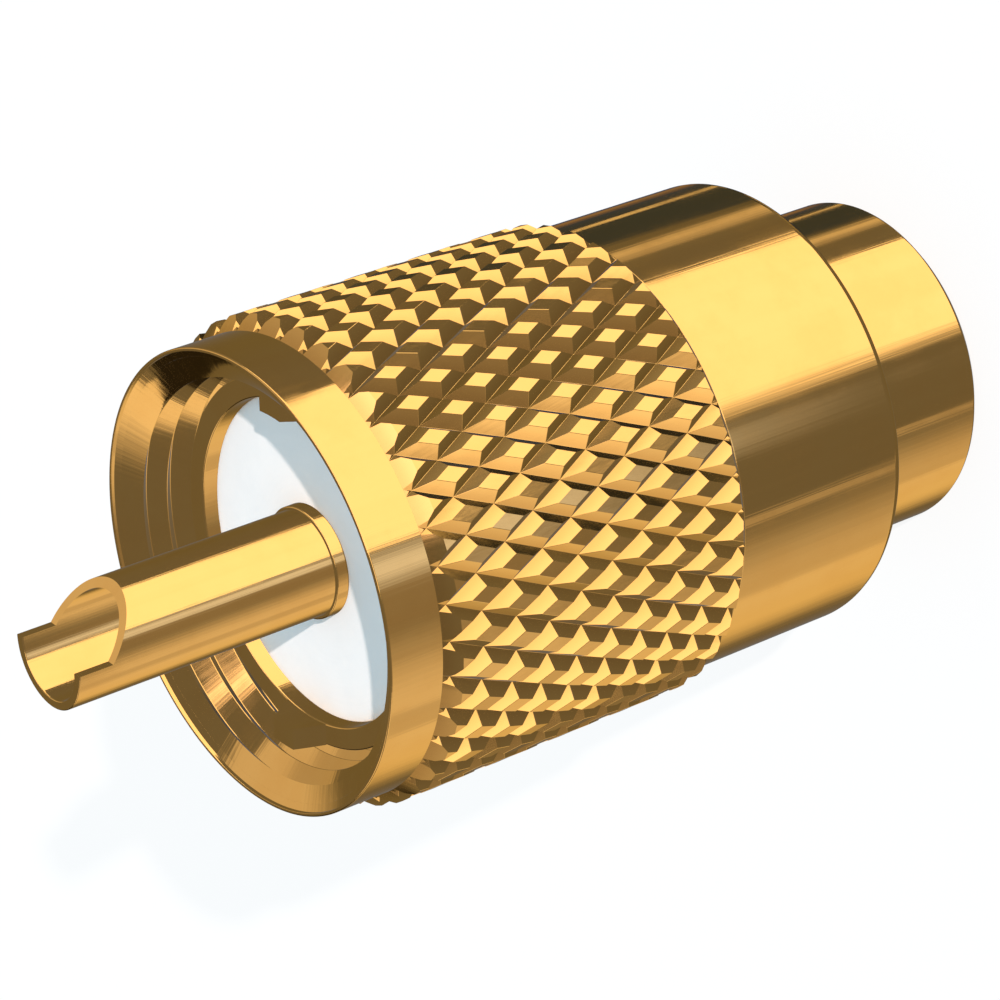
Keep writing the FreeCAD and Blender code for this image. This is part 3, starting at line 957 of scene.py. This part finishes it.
# What the polished metal mirrors. Each card has its name, its corners as (azimuth, elevation) in degrees, going round
# from its lower left one, its distance in metres, its strength, its tint, and how soft its left, right, lower and
# upper edges are, as shares of the card. A nearer card hides one that is farther off.
CARDS = (
    ("window_low", [(205, -52), (288, -52), (289, -27), (205, -27)], 1.30, 1.55, WHITE, (0.16, 0.01, 0.02, 0.02)),
    ("window_card", [(206, -31), (288.5, -31), (316, -2), (206, 8)], 1.30, 1.55, WHITE, (0.02, 0.01, 0.02, 0.02)),
    ("window_top", [(187, 3), (313, -8), (313, 14), (187, 34)], 1.25, 1.55, WHITE, (0.01, 0.02, 0.02, 0.02)),
    ("high_card", [(207, 32), (293, 34), (296, 60), (200, 78)], 1.20, 1.85, (1.0, 0.94, 1.1)),
    ("back_low", [(293, 36), (362, -3), (362, 22), (293, 48)], 1.25, 0.47),
    ("front_low", [(77, 6), (128, 33), (128, 45), (77, 22)], 1.20, 0.46, WHITE, (0.05, 0.05, 0.1, 0.1)),
    ("side_card", [(66, -47), (115, -47), (111, 3), (60, -14)], 1.30, 0.78, WHITE, (0.53, 0.12, 0.05, 0.05)),
    ("side_right", [(104, -47), (162, -46), (152, 3), (104, 3)], 1.35, 0.60, WHITE, (0.02, 0.75, 0.05, 0.05)),
    ("side_top", [(97, -20), (146, -18), (146, 7), (99, 0)], 1.25, 1.16, WHITE, (0.6, 0.12, 0.4, 0.03)),
    ("side_tail", [(138, -6), (187, -6), (187, 10), (138, 10)], 1.28, 0.27),
    ("side_mid", [(122, -35), (186, -35), (186, -24), (122, -24)], 1.28, 0.74, WHITE, (0.05, 1.0, 0.3, 0.1)),
    ("low_band", [(165, -35), (193, -35), (193, -24), (165, -24)], 1.27, 0.27, WHITE, (0.2, 0.2, 0.3, 0.1)),
    ("side_strip", [(152, -50), (158, -50), (158, -24), (152, -24)], 1.20, 0.42, WHITE, (0.3, 0.3, 0.1, 0.1)),
    ("cool_card", [(185, -39.5), (209, -39.5), (209, -18), (185, -18)], 1.25, 0.88, (0.9, 1.1, 1.7),
     (0.5, 0.5, 0.4, 0.1)),
    ("right_glow", [(314, -22), (353, -22), (353, -2), (314, -2)], 1.35, 0.29, (1.0, 1.1, 1.25), (0.02, 0.6, 0.1, 0.1)),
    ("dark_flag", [(311, -46), (392, -46), (396, -29), (329, -29)], 1.30, 0.055, (0.85, 1.3, 2.6),
     (0.05, 0.1, 0.03, 0.2)),
    ("dark_low", [(326, -60), (386, -60), (386, -42), (326, -44)], 1.25, 0.035, (0.9, 1.1, 1.6),
     (0.05, 0.05, 0.1, 0.02)),
    ("upper_card", [(60, 29), (100, 29), (100, 58), (60, 58)], 1.30, 0.96, WHITE, (0.02, 0.2, 0.02, 0.6)),
    ("upper_flag", [(40, 3), (75, 3), (75, 28.5), (40, 28.5)], 1.30, 0.02),
    ("back_card", [(322, 20), (375, 15), (375, 57), (322, 57)], 1.30, 0.66, WHITE, (0.05, 0.05, 0.4, 0.1)),
    ("thin_strip", [(312, -60), (354, -47), (354, -44), (312, -57)], 1.15, 1.0, WHITE, (0.1, 0.1, 0.3, 0.3)),
    ("left_strip", [(304, -42), (317.6, -42), (317.6, -34), (304, -34)], 1.15, 0.66, WHITE, (0.66, 0.25, 0.1, 0.1)),
    ("right_strip", [(348, -41), (352.2, -41), (352.2, -34), (348, -34)], 1.15, 1.0, WHITE, (0.45, 0.45, 0.1, 0.1)),
    ("far_strip", [(363, -39.5), (380, -39.5), (380, -32), (363, -32)], 1.15, 0.25, (1.0, 0.72, 0.35),
     (0.4, 0.4, 0.1, 0.1)),
)

# The photograph's view, fitted to the plug's round edges
CAMERA_PLACE = (-0.09910, -0.06255, 0.09548)
CAMERA_RIGHT = (-0.61898, 0.01226, -0.78531)
CAMERA_UP = (0.34492, -0.89406, -0.28583)
CAMERA_LENS = 137.065


def set_floor(s, finish):
    """A pale floor that shows as backdrop white and keeps the plug's shadow."""
    floor = fresh("floor", bpy.ops.mesh.primitive_plane_add, (0, 0, -0.03 * MM), size=8)
    material, tree = new_material("Pale floor", empty=True)
    matt = add_node(tree, "BsdfDiffuse", color=opaque(finish.floor))
    white = add_node(tree, "Emission")
    put_out(tree, mixed_shaders(
        tree, times(tree, looked_at(tree), s.backdrop_share), matt.outputs[0], white.outputs[0]))
    floor.data.materials.append(material)
    floor.visible_glossy = False


def set_world(s):
    """Soft light from all round, behind a white backdrop."""
    world = bpy.data.worlds.new("Studio")
    bpy.context.scene.world = world
    world.use_nodes = True
    tree = world.node_tree
    tree.nodes.clear()
    fill = add_node(tree, "Background", color=opaque(s.fill_colour), strength=s.fill_strength)
    white = add_node(tree, "Background", color=opaque(WHITE), strength=1.0)
    put_out(tree, mixed_shaders(tree, looked_at(tree), fill.outputs[0], white.outputs[0]), "OutputWorld")


def set_key_lamp(s):
    towards = direction(math.degrees(s.key_azimuth), math.degrees(s.key_elevation))
    key = fresh("key_lamp", bpy.ops.object.light_add, towards, type="SUN")
    key.rotation_euler = (-towards).to_track_quat("-Z", "Y").to_euler()
    key.data.energy = s.key_strength
    key.data.color = s.key_colour
    key.data.angle = math.radians(1.0)
    key.visible_glossy = False


def set_camera():
    camera = fresh("camera", bpy.ops.object.camera_add, CAMERA_PLACE)
    right, up = Vector(CAMERA_RIGHT).normalized(), Vector(CAMERA_UP).normalized()
    camera.rotation_euler = Matrix((right, up, right.cross(up))).transposed().to_euler()
    camera.data.sensor_width = 36
    camera.data.lens = CAMERA_LENS
    camera.data.clip_start = 0.005
    camera.data.clip_end = 20
    bpy.context.scene.camera = camera


class PLUG_OT_studio(bpy.types.Operator):
    """Sets the floor, the lamps, the cards that the metal mirrors, and the camera"""

    bl_idname = "plug.studio"
    bl_label = "Studio"

    def execute(self, context):
        s = context.scene.plug_studio
        set_floor(s, context.scene.plug_finishes)
        set_world(s)
        set_key_lamp(s)
        tent = fresh("grey_tent", bpy.ops.mesh.primitive_uv_sphere_add, segments=48, ring_count=24, radius=1.6)
        tent.data.materials.append(glowing("Grey tent", s.tent, s.tent_colour))
        only_in_mirrors(tent)
        for given in CARDS:
            card(*given)
        set_camera()
        context.scene.view_settings.view_transform = "Standard"
        return {"FINISHED"}


class PLUG_PT_panel(bpy.types.Panel):
    bl_label = "Coaxial plug"
    bl_idname = "PLUG_PT_panel"
    bl_space_type = "VIEW_3D"
    bl_region_type = "UI"
    bl_category = "Plug"

    def draw(self, context):
        for operator in OPERATORS:
            self.layout.operator(operator.bl_idname)
        for name, group in GROUPS.items():
            box = self.layout.box()
            box.label(text=group.__name__)
            for label in group.__annotations__:
                box.prop(getattr(context.scene, name), label)


GROUPS = {
    "plug_nut": NutSizes,
    "plug_body": BodySizes,
    "plug_insulator": InsulatorSizes,
    "plug_contact": ContactSizes,
    "plug_finishes": Finishes,
    "plug_studio": Studio,
}
OPERATORS = (PLUG_OT_nut, PLUG_OT_knurl, PLUG_OT_body, PLUG_OT_insulator, PLUG_OT_contact, PLUG_OT_studio)


def register():
    for cls in (*GROUPS.values(), *OPERATORS, PLUG_PT_panel):
        bpy.utils.register_class(cls)
    for name, group in GROUPS.items():
        setattr(bpy.types.Scene, name, bpy.props.PointerProperty(type=group))


def unregister():
    for name in GROUPS:
        delattr(bpy.types.Scene, name)
    for cls in reversed((*GROUPS.values(), *OPERATORS, PLUG_PT_panel)):
        bpy.utils.unregister_class(cls)


def main():
    register()
    bpy.ops.object.select_all(action="DESELECT")
    bpy.ops.plug.nut()
    bpy.ops.plug.knurl()
    bpy.ops.plug.body()
    bpy.ops.plug.insulator()
    bpy.ops.plug.contact()
    bpy.ops.plug.studio()


if __name__ == "__main__":
    main()
